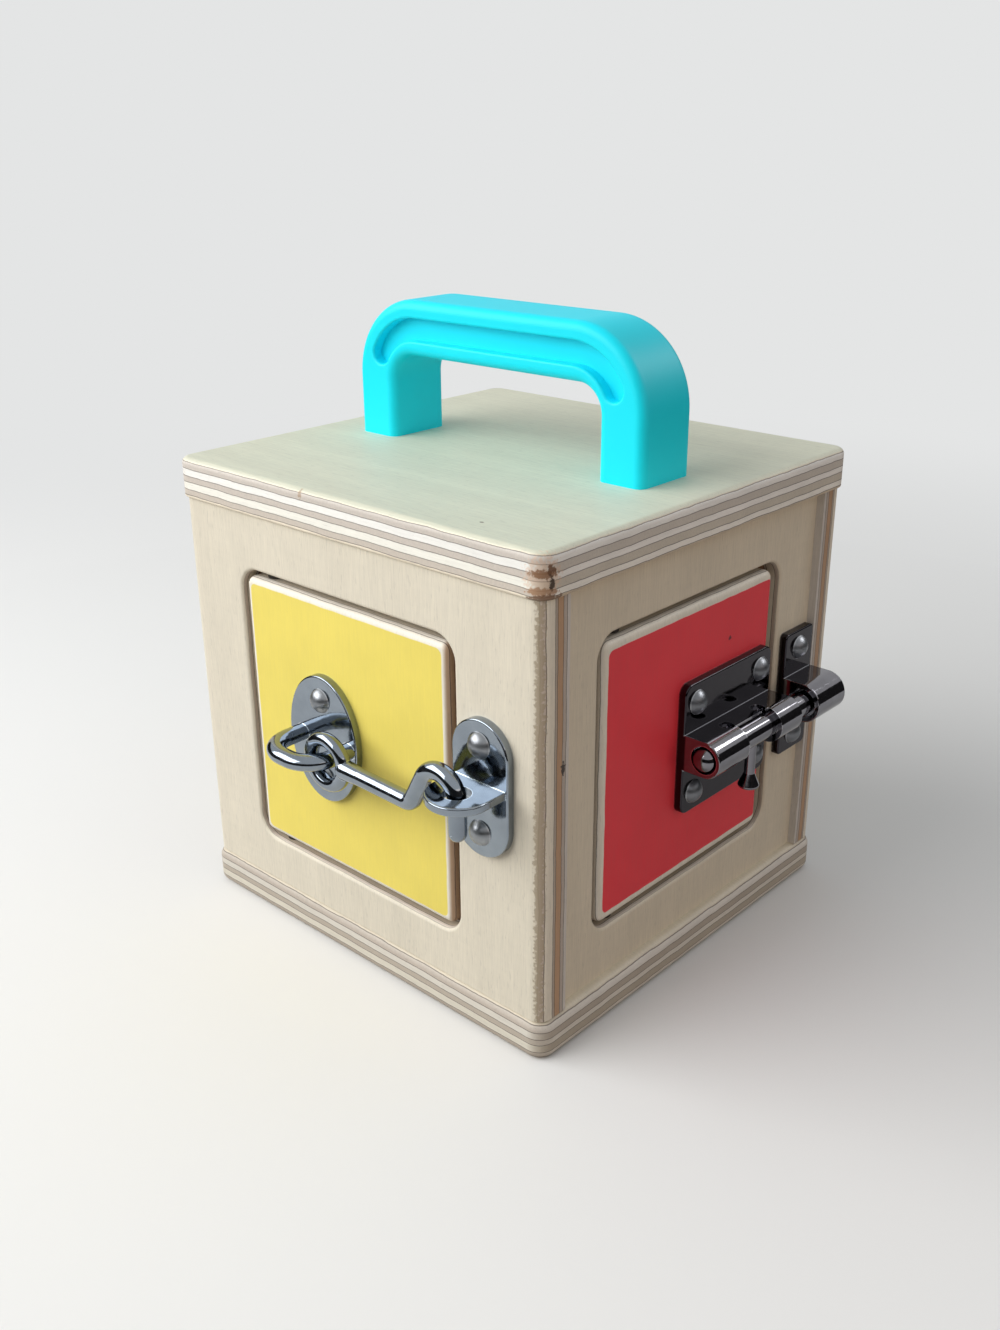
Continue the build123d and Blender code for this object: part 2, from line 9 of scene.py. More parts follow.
import bpy
import numpy as np
from mathutils import Matrix, Vector

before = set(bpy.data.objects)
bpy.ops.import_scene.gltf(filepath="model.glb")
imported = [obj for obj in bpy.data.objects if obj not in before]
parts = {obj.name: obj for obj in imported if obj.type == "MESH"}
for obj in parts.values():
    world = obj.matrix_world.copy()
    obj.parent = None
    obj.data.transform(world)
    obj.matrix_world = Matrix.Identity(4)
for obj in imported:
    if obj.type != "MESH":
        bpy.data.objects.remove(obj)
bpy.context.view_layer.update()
bpy.context.scene.view_settings.view_transform = "Standard"

# %% [markdown]
# ## Units, colours and nodes
# Sizes on the box are spoken of in millimetres, colours as the hex values a painter would note
# down. Blender wants metres and linear light, so a factor and a small function translate. A second
# function adds a shader node: a socket given for an input is linked, anything else is set as its
# value.

# %% Helpers
MM = 0.001


def linear(hex_colour):
    """The sRGB curve undone: (c / 12.92) low down, ((c + 0.055) / 1.055) ** 2.4 above."""
    c = np.array([int(hex_colour[i:i + 2], 16) for i in (1, 3, 5)]) / 255
    flat = np.where(c <= 0.04045, c / 12.92, ((c + 0.055) / 1.055) ** 2.4)
    return (*[float(v) for v in flat], 1.0)


def add(tree, kind, inputs=None, **settings):
    """One node with its settings, its inputs set or linked."""
    node = tree.nodes.new(kind)
    for name, value in settings.items():
        setattr(node, name, value)
    for name, value in (inputs or {}).items():
        if isinstance(value, bpy.types.NodeSocket):
            tree.links.new(value, node.inputs[name])
        else:
            node.inputs[name].default_value = value
    return node


print("half of the hex scale is", round(linear("#808080")[0], 3), "in linear light")

# %% [markdown]
# ## The camera
# The photograph looks down on the near corner from the right and a little above the lid. Three
# directions, worked out from the edges of the box, say where the camera's right, its top and its
# back point. The sensor's width in mm lies along the tall side of the picture, so the lens is
# that width times the focal length in pixels, over the picture's height in pixels.

# %% Camera
SENSOR = 36.0
PICTURE_HEIGHT = 1330
FOCAL_PIXELS = 1329.867
camera_right = Vector((0.73618, 0.67674, -0.00726))
camera_up = Vector((-0.25618, 0.28858, 0.92254))
camera_back = Vector((0.62642, -0.67730, 0.38582))
camera_place = Vector((260.345, -288.668, 237.717)) * MM

lens = bpy.data.cameras.new("box_camera")
lens.sensor_width = SENSOR
lens.lens = SENSOR * FOCAL_PIXELS / PICTURE_HEIGHT
lens.clip_start, lens.clip_end = 0.01, 20.0
camera = bpy.data.objects.new("box_camera", lens)
turn = Matrix((camera_right, camera_up, camera_back)).transposed().to_4x4()
camera.matrix_world = Matrix.Translation(camera_place) @ turn
bpy.context.scene.collection.objects.link(camera)
bpy.context.scene.camera = camera
print("camera at", [round(v, 3) for v in camera.location], "lens", round(lens.lens, 2), "mm")

# %% [markdown]
# ## The floor
# The box stands on a round of pale matt paper, wide enough that it fades into the even tone of
# the room before it ends. So no line shows where table meets wall, from any side. The rings lie
# close together near the box and wide apart far from it.

# %% Floor
FLOOR_RADIUS = 3.0
RING_STEPS = 96
angle = np.linspace(0, 2 * math.pi, RING_STEPS, endpoint=False)


def surface(name, points):
    """A mesh over rings of points (rings, steps round, 3), closed all the way round."""
    rings, steps, _ = points.shape
    ring = np.arange(rings - 1)[:, None]
    step = np.arange(steps)[None, :]
    after = (step + 1) % steps
    faces = np.stack([ring * steps + step, ring * steps + after,
                      (ring + 1) * steps + after, (ring + 1) * steps + step], axis=-1)
    mesh = bpy.data.meshes.new(name)
    mesh.from_pydata(points.reshape(-1, 3).tolist(), [], faces.reshape(-1, 4).tolist())
    mesh.update()
    mesh.polygons.foreach_set("use_smooth", [True] * len(mesh.polygons))
    piece = bpy.data.objects.new(name, mesh)
    bpy.context.scene.collection.objects.link(piece)
    return piece


radius = np.concatenate([[0.001], np.geomspace(0.05, FLOOR_RADIUS, 20)])[:, None]
floor = surface("paper_floor", np.stack([
    radius * np.cos(angle), radius * np.sin(angle), 0 * radius * angle], axis=-1))
print("floor", len(floor.data.polygons), "faces")

# %% [markdown]
# ## Paper that fades into the room
# The photograph's table is dark and throws little light back onto the box. So the paper is pale
# to the eye and in the metal, but grey for the light that bounces off it. Near the box it keeps
# the real shadow, and far from it it turns into an even tone that needs no light.

# %% Matt paper
ROOM_TONE = "#E4E5E5"
FADE_START, FADE_END = 0.16, 0.75


def fresh(name):
    """An empty material with its node tree."""
    material = bpy.data.materials.new(name)
    material.use_nodes = True
    material.node_tree.nodes.clear()
    return material


def direct_view(tree):
    """1 for what the camera sees, also in metal or through glass, and 0 for light on the box."""
    path = add(tree, "ShaderNodeLightPath")
    seen = path.outputs["Is Camera Ray"]
    for way in ("Is Glossy Ray", "Is Transmission Ray"):
        seen = add(tree, "ShaderNodeMath", {0: seen, 1: path.outputs[way]},
                   operation="MAXIMUM").outputs[0]
    return seen


paper = fresh("matt_paper")
tree = paper.node_tree
place = add(tree, "ShaderNodeTexCoord").outputs["Object"]
seen = direct_view(tree)
pulp = add(tree, "ShaderNodeTexNoise", {"Vector": place, "Scale": 900.0, "Detail": 2.0})
relief = add(tree, "ShaderNodeBump", {"Height": pulp.outputs["Fac"], "Strength": 0.05,
                                      "Distance": 0.1 * MM})
tone = add(tree, "ShaderNodeMix", {0: seen, 6: linear("#7C766F"), 7: linear("#ECEBE8")},
           data_type="RGBA")
sheet = add(tree, "ShaderNodeBsdfPrincipled", {"Base Color": tone.outputs[2],
                                               "Roughness": 0.9,
                                               "Normal": relief.outputs[0]})
away = add(tree, "ShaderNodeVectorMath", {0: place}, operation="LENGTH")
fade = add(tree, "ShaderNodeMapRange", {"Value": away.outputs["Value"],
                                        "From Min": FADE_START, "From Max": FADE_END},
           interpolation_type="SMOOTHSTEP")
fade = add(tree, "ShaderNodeMath", {0: fade.outputs[0], 1: seen}, operation="MULTIPLY")
even = add(tree, "ShaderNodeEmission", {"Color": linear(ROOM_TONE), "Strength": 1.0})
both = add(tree, "ShaderNodeMixShader", {0: fade.outputs[0], 1: sheet.outputs[0],
                                         2: even.outputs[0]})
add(tree, "ShaderNodeOutputMaterial", {"Surface": both.outputs[0]})
floor.data.materials.append(paper)
print("paper", len(tree.nodes), "nodes")

# %% [markdown]
# ## The lamps
# In the photograph a window stands to the left and front: the yellow side is bright and the red
# side is in soft shade. One large soft lamp does that, and a weak wide lamp low on the right keeps
# the red side even. One more lamp stands behind the right edge. It lights no matt surface: only
# shiny ones show it, and it draws the rims of the bolt.

# %% Lamps
BOX_MIDDLE = Vector((0, 0, 0.08))


def soft_lamp(name, place, watts, width, height):
    """A rectangular lamp that looks at the middle of the box."""
    light = bpy.data.lights.new(name, "AREA")
    light.shape = "RECTANGLE"
    light.size, light.size_y, light.energy = width, height, watts
    lamp = bpy.data.objects.new(name, light)
    lamp.location = place
    lamp.rotation_mode = "QUATERNION"
    lamp.rotation_quaternion = (Vector(place) - BOX_MIDDLE).to_track_quat("Z", "Y")
    bpy.context.scene.collection.objects.link(lamp)
    return lamp


window_lamp = soft_lamp("window_lamp", (-0.58, -0.8, 0.66), 15.5, 1.3, 0.9)
side_lamp = soft_lamp("side_lamp", (1.15, -0.1, 0.16), 2.2, 1.0, 0.8)
side_lamp.data.color = linear("#FFDFC8")[:3]
rim_lamp = soft_lamp("rim_lamp", (0.5, 0.62, 0.72), 4.0, 0.5, 0.3)
rim_lamp.visible_diffuse = False
for lamp in (window_lamp, side_lamp, rim_lamp):
    print(lamp.name, round(lamp.data.energy, 1), "watts")

# %% [markdown]
# ## Something dark to mirror
# Bright metal needs something dark to mirror, or it looks like grey paint. A low dark screen
# stands round the box as a photographer's black card does. Only shiny surfaces show it.

# %% Dark screen
SCREEN_RADIUS = 0.42
rise = np.array([0.004, 0.2])[:, None]
screen = surface("dark_screen", np.stack([
    SCREEN_RADIUS * np.cos(angle) + 0 * rise, SCREEN_RADIUS * np.sin(angle) + 0 * rise,
    rise + 0 * angle], axis=-1))
screen.visible_camera = screen.visible_diffuse = screen.visible_shadow = False
card = fresh("black_card")
felt = add(card.node_tree, "ShaderNodeTexNoise", {"Scale": 400.0})
tone = add(card.node_tree, "ShaderNodeMix", {0: felt.outputs["Fac"], 6: linear("#1C1B1C"),
                                             7: linear("#2C2A2B")}, data_type="RGBA")
matt = add(card.node_tree, "ShaderNodeBsdfPrincipled", {"Base Color": tone.outputs[2],
                                                        "Roughness": 0.95})
add(card.node_tree, "ShaderNodeOutputMaterial", {"Surface": matt.outputs[0]})
screen.data.materials.append(card)
print("screen", len(screen.data.polygons), "faces")

# %% [markdown]
# ## The room
# The room fills the shadows, more from overhead than from the sides. What is seen of it directly
# has the even tone that the paper fades into, so the two join without a line.

# %% World
SIDE_FILL, OVERHEAD_FILL = 0.2, 0.66


def spread(tree, value, low, high, start=0.3, end=0.7):
    """A value from start to end is stretched to go from low to high.

    Most values of a noise lie between 0.3 and 0.7.
    """
    return add(tree, "ShaderNodeMapRange", {"Value": value, "From Min": start, "From Max": end,
                                            "To Min": low, "To Max": high}).outputs[0]


world = bpy.data.worlds.new("pale_room")
world.use_nodes = True
bpy.context.scene.world = world
room = world.node_tree
room.nodes.clear()
direction = add(room, "ShaderNodeTexCoord").outputs["Generated"]
height = add(room, "ShaderNodeSeparateXYZ", {0: direction}).outputs["Z"]
level = spread(room, height, SIDE_FILL, OVERHEAD_FILL, 0.0, 1.0)
fill = add(room, "ShaderNodeBackground", {"Color": linear("#F0F4F8"), "Strength": level})
show = add(room, "ShaderNodeBackground", {"Color": linear(ROOM_TONE), "Strength": 1.0})
both = add(room, "ShaderNodeMixShader", {0: direct_view(room), 1: fill.outputs[0],
                                         2: show.outputs[0]})
add(room, "ShaderNodeOutputWorld", {"Surface": both.outputs[0]})
print("room fills from", SIDE_FILL, "at the side to", OVERHEAD_FILL, "overhead")

# %% [markdown]
# ## Birch plywood
# The box is cut from birch plywood: thin veneers glued with the grain turned at each layer. The
# faces show pale, fine, straight grain under a satin lacquer, and every cut edge shows the
# layers as stripes. So the material is not a picture on a face but a colour for each depth in
# the board: the depth is read off the object's own coordinates, and a rounded edge then runs
# through the layers as the real one does.

# %% Layers
# Thickness in mm and colour of each layer, from the outer face inwards. Its fibres run along the
# face's grain in the 1st, 3rd, 5th ... layer and across it in the others.
LID_LAYERS = [(1.0, "#FFF6DE"), (2.0, "#FFFCF6"), (2.2, "#FFFDF6"), (1.8, "#FFFBF4"),
              (2.3, "#FFFCF0"), (1.7, "#FFFAF0"), (1.0, "#FFF3DC")]
BASE_LAYERS = [(1.0, "#E3D8C2"), (2.0, "#E6DFD4"), (2.2, "#E4DDD0"), (1.8, "#E6DFD2"),
               (2.3, "#E3DCCB"), (1.7, "#E4DCCE"), (1.0, "#E2D6BE")]
PANEL_LAYERS = [(0.7, "#E4D9BE"), (1.2, "#E9DDD0"), (2.7, "#EFE5D2"), (0.9, "#DED3C6"),
                (2.1, "#C39D7B"), (1.3, "#E6DED5"), (1.1, "#DAD3CB")]
# The door's layers are paler than those of the panel it is sawn from: painted light on its edges
# in the gap.
DOOR_LAYERS = [(1.2, "#F8F3E8"), (1.5, "#F1EADD"), (2.4, "#F3ECDD"), (1.4, "#E6DCCB"),
               (2.0, "#EFE6D4"), (1.5, "#E4DACB")]
STOP_LAYERS = [(1.5, "#E2D5BE"), (1.5, "#B3A294"), (1.5, "#E0D2BA"), (1.5, "#D9C9B0")]
# Each glue line blends into its layers over this many mm on either side.
GLUE = "#46352A"
GLUE_BLEND = 0.16


def layer_ramp(tree, depth_mm, layers):
    """Two ramps over depth: each layer's colour with thin glue lines, and 1 where it is turned."""
    thickness = sum(size for size, _ in layers)
    part = add(tree, "ShaderNodeMath", {0: depth_mm, 1: thickness}, operation="DIVIDE")
    tint = add(tree, "ShaderNodeValToRGB", {"Fac": part.outputs[0]})
    turned = add(tree, "ShaderNodeValToRGB", {"Fac": part.outputs[0]})
    turned.color_ramp.interpolation = "CONSTANT"
    stops, switches = tint.color_ramp.elements, turned.color_ramp.elements
    stops[0].color, stops[1].color = linear(layers[0][1]), linear(layers[-1][1])
    switches.remove(switches[1])
    switches[0].color = (0.0, 0.0, 0.0, 1.0)
    reached = 0.0
    for count, ((size, colour), (_, following)) in enumerate(zip(layers[:-1], layers[1:])):
        reached += size
        for shift, shade in ((-GLUE_BLEND, linear(colour)), (0.0, linear(GLUE)),
                             (GLUE_BLEND, linear(following))):
            stops.new((reached + shift) / thickness).color = shade
        level = float(count % 2 == 0)
        switches.new(reached / thickness).color = (level, level, level, 1.0)
    return tint.outputs["Color"], turned.outputs["Color"]


for name, layers in (("lid", LID_LAYERS), ("panel", PANEL_LAYERS), ("door", DOOR_LAYERS)):
    print(name, len(layers), "layers in", round(sum(size for size, _ in layers), 1), "mm")

# %% [markdown]
# ## Fibres and how they are cut
# Birch has short fine fibres, a slow cloudy figure and tiny pores, all of them noise drawn out
# along the grain, and a faint ripple across it. The fibres turn with the layer. Where a saw cuts
# across them, the end grain drinks the lacquer and looks darker and greyer than a fibre's side.

# %% Grain
AXES = "XYZ"
# Fibres are about 0.5 mm apart here and 9 mm long, coarser than the real 0.1 mm. Both numbers are
# repeats in a metre.
FIBRES_ACROSS, FIBRES_ALONG = 1900.0, 110.0


def stretched(tree, place, grain, across, along, **noise):
    """Noise drawn out along the grain: across and along are its repeats in a metre."""
    scale = [across if a != grain else along for a in AXES]
    lain = add(tree, "ShaderNodeMapping", {"Vector": place, "Scale": scale})
    return add(tree, "ShaderNodeTexNoise", {"Vector": lain.outputs[0], "Scale": 1.0,
                                            **noise}).outputs["Fac"]


def grain_shade(tree, place, grain, cross, turned):
    """The fibres of each layer, and how much they, the figure and the pores darken the wood."""
    fibre = add(tree, "ShaderNodeMix", {
        0: turned,
        2: stretched(tree, place, grain, FIBRES_ACROSS, FIBRES_ALONG, Detail=4.0, Roughness=0.6),
        3: stretched(tree, place, cross, FIBRES_ACROSS, FIBRES_ALONG, Detail=4.0, Roughness=0.6),
    }).outputs[0]
    figure = stretched(tree, place, grain, 90.0, 7.0, Detail=3.0, Distortion=0.6)
    ripple = stretched(tree, place, cross, 520.0, 60.0, Detail=2.0)
    pore = stretched(tree, place, grain, 2600.0, 330.0, Detail=1.0)
    shade = spread(tree, fibre, 0.92, 1.04)
    for other in (spread(tree, figure, 0.955, 1.03), spread(tree, ripple, 0.985, 1.01),
                  spread(tree, pore, 1.0, 0.88, 0.64, 0.74)):
        shade = add(tree, "ShaderNodeMath", {0: shade, 1: other},
                    operation="MULTIPLY").outputs[0]
    return fibre, shade


def end_grain_tone(tree, colour, turned, normal, grain, cross, end_grain):
    """The colour, multiplied by end_grain where the surface lies square to the fibres."""
    facing = add(tree, "ShaderNodeVectorMath", {0: normal}, operation="ABSOLUTE")
    facing = add(tree, "ShaderNodeSeparateXYZ", {0: facing.outputs[0]})
    cut = add(tree, "ShaderNodeMix", {0: turned, 2: facing.outputs[grain],
                                      3: facing.outputs[cross]}).outputs[0]
    return add(tree, "ShaderNodeMix", {0: cut, 6: colour, 7: linear(end_grain)},
               data_type="RGBA", blend_type="MULTIPLY").outputs[2]


print("fibres", round(1000 / FIBRES_ACROSS, 2), "mm apart,", round(1000 / FIBRES_ALONG), "mm long")

# %% [markdown]
# ## One board
# A board needs to know which axis is its thickness, where its outer face lies and which way its
# fibres run. Depth below that face picks the layer. Saw and sander leave the layers a fifth of a
# millimetre out of true over a centimetre, so a slow noise is added to the depth. Lacquer and
# handling give the outer 0.7 mm the tone of the face.

# %% Board
# The doors' end grain is paler than the box's: painted light on the door edges in the narrow gap.
END_GRAIN = "#D6CFC9"
DOOR_END_GRAIN_PAINTED_LIGHT = "#EFEBE4"
# The noise strays by about 0.2 from its middle, so this many mm make a fifth of a millimetre.
LAYER_SWAY = 1.0
SKIN_START, SKIN_END = 0.5, 0.9


def board_depth(tree, place, apart, axis, outside, inward):
    """Depth below the outer face in mm, with the layers a little out of true."""
    sway = add(tree, "ShaderNodeTexNoise", {"Vector": place, "Scale": 70.0, "Detail": 5.0,
                                            "Roughness": 0.6})
    depth = add(tree, "ShaderNodeMath", {0: apart.outputs[axis], 1: outside * MM},
                operation="SUBTRACT")
    depth = add(tree, "ShaderNodeMath", {0: depth.outputs[0], 1: inward / MM},
                operation="MULTIPLY")
    out = add(tree, "ShaderNodeMath", {0: sway.outputs["Fac"], 1: 0.5}, operation="SUBTRACT")
    return add(tree, "ShaderNodeMath", {0: out.outputs[0], 1: LAYER_SWAY, 2: depth.outputs[0]},
               operation="MULTIPLY_ADD").outputs[0]


def board(tree, axis, outside, inward, layers, grain, face, end_grain=END_GRAIN):
    """Nodes of a birch board: colour, roughness, height, place and its three coordinates.

    axis is the board's thickness, outside the coordinate of its outer face in mm, inward the
    way to its middle, and grain the axis along which the face's fibres run. face is the colour
    of the outer veneer, end_grain what the colour is multiplied by where fibres are cut.
    """
    coordinates = add(tree, "ShaderNodeTexCoord")
    place = coordinates.outputs["Object"]
    apart = add(tree, "ShaderNodeSeparateXYZ", {0: place})
    depth = board_depth(tree, place, apart, axis, outside, inward)
    colour, turned = layer_ramp(tree, depth, layers)
    cross = next(a for a in AXES if a != grain and a != AXES[axis])
    colour = end_grain_tone(tree, colour, turned, coordinates.outputs["Normal"], grain, cross,
                            end_grain)
    skin = spread(tree, depth, 1.0, 0.0, SKIN_START, SKIN_END)
    colour = add(tree, "ShaderNodeMix", {0: skin, 6: colour, 7: linear(face)},
                 data_type="RGBA").outputs[2]
    fibre, shade = grain_shade(tree, place, grain, cross, turned)
    colour = add(tree, "ShaderNodeVectorMath", {0: colour, "Scale": shade},
                 operation="SCALE").outputs[0]
    rough = spread(tree, fibre, 0.42, 0.66, 0.0, 1.0)
    return colour, rough, fibre, place, apart


print("the face's tone reaches", (SKIN_START + SKIN_END) / 2, "mm deep")

# %% [markdown]
# ## Knocks and nicks
# A used box is bruised at its corners. Each mark is a small ellipsoid with a ragged edge: the
# distance from its middle, counted in its own half sizes, has noise added before it is cut off.

# %% Marks
# A mark is a point and three half sizes in mm, a colour and a strength.
#
# The lid's near corner is knocked about. The lacquer is rubbed off in a pale patch, glue lines
# are bruised brown, and there is a dark nick. One more mark is on top, one on the front edge.
LID_MARKS = [
    ((70.2, -68.2, 137.4), (4.6, 4.6, 5.4), "#E2BE9E", 0.5),
    ((70.2, -68.2, 138.6), (3.6, 3.6, 1.1), "#8A5D36", 0.85),
    ((71.6, -67.0, 139.8), (1.3, 1.3, 1.1), "#6B4528", 0.9),
    ((70.2, -68.2, 134.4), (3.8, 3.8, 1.1), "#A5774F", 0.75),
    ((70.6, -67.9, 132.6), (4.6, 4.6, 1.0), "#6E4B31", 0.8),
    ((71.8, -66.8, 136.3), (0.9, 0.9, 1.8), "#33210F", 0.95),
    ((43.3, -60.2, 144.0), (0.6, 0.5, 0.6), "#6F5A45", 0.8),
    ((-14.9, -70.0, 142.9), (0.8, 1.2, 1.7), "#A98C6C", 0.7),
]
# The front panel has a dark nick, and its near edge is rubbed through the first veneer all the
# way up.
FRONT_MARKS = [((71.0, -61.1, 85.9), (0.8, 0.8, 1.9), "#2E2018", 0.95),
               ((69.6, -68.4, 72.0), (1.5, 1.5, 95.0), "#A9977C", 0.75)]
# The red paint has one dark dot.
RED_DOOR_MARKS = [((68.5, 15.7, 97.6), (0.6, 0.6, 0.7), "#4A0F14", 0.9)]
RAGGED = 2.2
MARK_FULL, MARK_GONE = 1.85, 2.2


def specks(tree, place, colour, marks):
    """The colour with the marks laid over it."""
    ragged = add(tree, "ShaderNodeTexNoise", {"Vector": place, "Scale": 1100.0, "Detail": 4.0})
    for point, halves, dark, strength in marks:
        off = add(tree, "ShaderNodeVectorMath", {0: place, 1: Vector(point) * MM},
                  operation="SUBTRACT")
        off = add(tree, "ShaderNodeVectorMath", {0: off.outputs[0], 1: Vector(halves) * MM},
                  operation="DIVIDE")
        far = add(tree, "ShaderNodeVectorMath", {0: off.outputs[0]}, operation="LENGTH")
        far = add(tree, "ShaderNodeMath", {0: ragged.outputs["Fac"], 1: RAGGED,
                                           2: far.outputs["Value"]}, operation="MULTIPLY_ADD")
        mark = spread(tree, far.outputs[0], strength, 0.0, MARK_FULL, MARK_GONE)
        colour = add(tree, "ShaderNodeMix", {0: mark, 6: colour, 7: linear(dark)},
                     data_type="RGBA").outputs[2]
    return colour


print("marks", len(LID_MARKS), "on the lid,", len(FRONT_MARKS), "on the front")

# %% [markdown]
# ## Boards of the box
# Every plain board gets its own material, because its outer face lies somewhere else. The lid and
# the base lie flat and their fibres run along X, the walls stand and theirs run up.

# %% Plain boards
# Outer faces of the boards in mm. The stops lie against the inside of the panels, and theirs is
# the face towards the middle of the box.
LID_TOP, BASE_TOP = 144.0, 12.0
FRONT_FACE, BACK_FACE, SIDE_FACE = -69.0, 69.0, 68.5
FRONT_STOP_FACE, RIGHT_STOP_FACE = -53.0, 52.5


def finish(material, colour, roughness, height, bump=0.2, distance=0.12 * MM, **sockets):
    """Ties colour, roughness and bump to a Principled surface; sockets are set as constants."""
    tree = material.node_tree
    relief = add(tree, "ShaderNodeBump", {"Height": height, "Strength": bump,
                                          "Distance": distance})
    inputs = {"Base Color": colour, "Roughness": roughness, "Normal": relief.outputs[0]}
    inputs.update({name.replace("_", " "): value for name, value in sockets.items()})
    skin = add(tree, "ShaderNodeBsdfPrincipled", inputs)
    add(tree, "ShaderNodeOutputMaterial", {"Surface": skin.outputs[0]})


def dress(material, *names):
    """Puts a material on CAD nodes, in place of their plain one."""
    for name in names:
        parts[name].data.materials.clear()
        parts[name].data.materials.append(material)


def plywood(name, axis, outside, inward, layers, grain, face, marks=()):
    """Plain lacquered board, with small marks where it is knocked about."""
    material = fresh(name)
    tree = material.node_tree
    colour, rough, height, place, _ = board(tree, axis, outside, inward, layers, grain, face)
    if marks:
        colour = specks(tree, place, colour, marks)
    finish(material, colour, rough, height, IOR=1.5)
    return material


# Piece, end of its material's name, thickness axis, outer face, way in, layers, grain, tone of
# the face and marks
BOARDS = [
    ("base_panel", "base", 2, BASE_TOP, -1, BASE_LAYERS, "X", "#DCD1BA"),
    # The lid's face tone is greener and greyer than the walls': painted reflection of the cyan
    # handle.
    ("lid_panel", "lid", 2, LID_TOP, -1, LID_LAYERS, "X", "#DDDCC6", LID_MARKS),
    ("front_panel", "front", 1, FRONT_FACE, 1, PANEL_LAYERS, "Z", "#E6DDC9", FRONT_MARKS),
    ("back_panel", "back", 1, BACK_FACE, -1, PANEL_LAYERS, "Z", "#E4D8C0"),
    ("left_panel", "left", 0, -SIDE_FACE, 1, PANEL_LAYERS, "Z", "#E6DAC3"),
    ("right_panel", "right", 0, SIDE_FACE, -1, PANEL_LAYERS, "Z", "#E4D8C1"),
    ("front_door_stop", "front_stop", 1, FRONT_STOP_FACE, -1, STOP_LAYERS, "Z", "#E2D6BE"),
    ("right_door_stop", "right_stop", 0, RIGHT_STOP_FACE, 1, STOP_LAYERS, "Z", "#E2D6BE"),
]
for piece, ending, *recipe in BOARDS:
    dress(plywood("birch_plywood_" + ending, *recipe), piece)
print("plywood on", sum("plywood" in p.data.materials[0].name for p in parts.values()), "pieces")

# %% [markdown]
# ## Painted doors
# Each door is the piece sawn out of its panel. Only its face is painted, with a matt
# water-based paint through which the grain still telegraphs, and its rounded edge stays bare.
# The field of paint is a rounded rectangle, not quite in the middle of the door, so the shader
# measures how far each point lies inside that outline.

# %% Field of paint
PAINT_CORNER = 2.0


def inside_outline(tree, apart, across, centre, half, corner):
    """Millimetres inside a rounded rectangle: corner minus the distance from the inner box."""
    reach = []
    for axis, middle, size in zip(across, centre, half):
        off = add(tree, "ShaderNodeMath", {0: apart.outputs[axis], 1: middle * MM},
                  operation="SUBTRACT")
        off = add(tree, "ShaderNodeMath", {0: off.outputs[0]}, operation="ABSOLUTE")
        reach.append(add(tree, "ShaderNodeMath", {0: off.outputs[0], 1: 1 / MM,
                                                  2: corner - size}, operation="MULTIPLY_ADD"))
    far = [add(tree, "ShaderNodeMath", {0: r.outputs[0], 1: 0.0}, operation="MAXIMUM")
           for r in reach]
    pair = add(tree, "ShaderNodeCombineXYZ", {0: far[0].outputs[0], 1: far[1].outputs[0]})
    away = add(tree, "ShaderNodeVectorMath", {0: pair.outputs[0]}, operation="LENGTH")
    most = add(tree, "ShaderNodeMath", {0: reach[0].outputs[0], 1: reach[1].outputs[0]},
               operation="MAXIMUM")
    within = add(tree, "ShaderNodeMath", {0: most.outputs[0], 1: 0.0}, operation="MINIMUM")
    out = add(tree, "ShaderNodeMath", {0: away.outputs["Value"], 1: within.outputs[0]},
              operation="ADD")
    return add(tree, "ShaderNodeMath", {0: corner, 1: out.outputs[0]}, operation="SUBTRACT")


print("the paint's corners have a radius of", PAINT_CORNER, "mm")

# %% [markdown]
# ## Yellow and red
# The paint covers the birch where a point lies inside the field and on the face. The field's edge
# wavers by a fraction of a millimetre, as a roller leaves it. Cloudy noise makes the coat thicker
# and thinner, and the fibres below show through a little.

# %% Painted doors
PAINT_DEPTH = 0.4


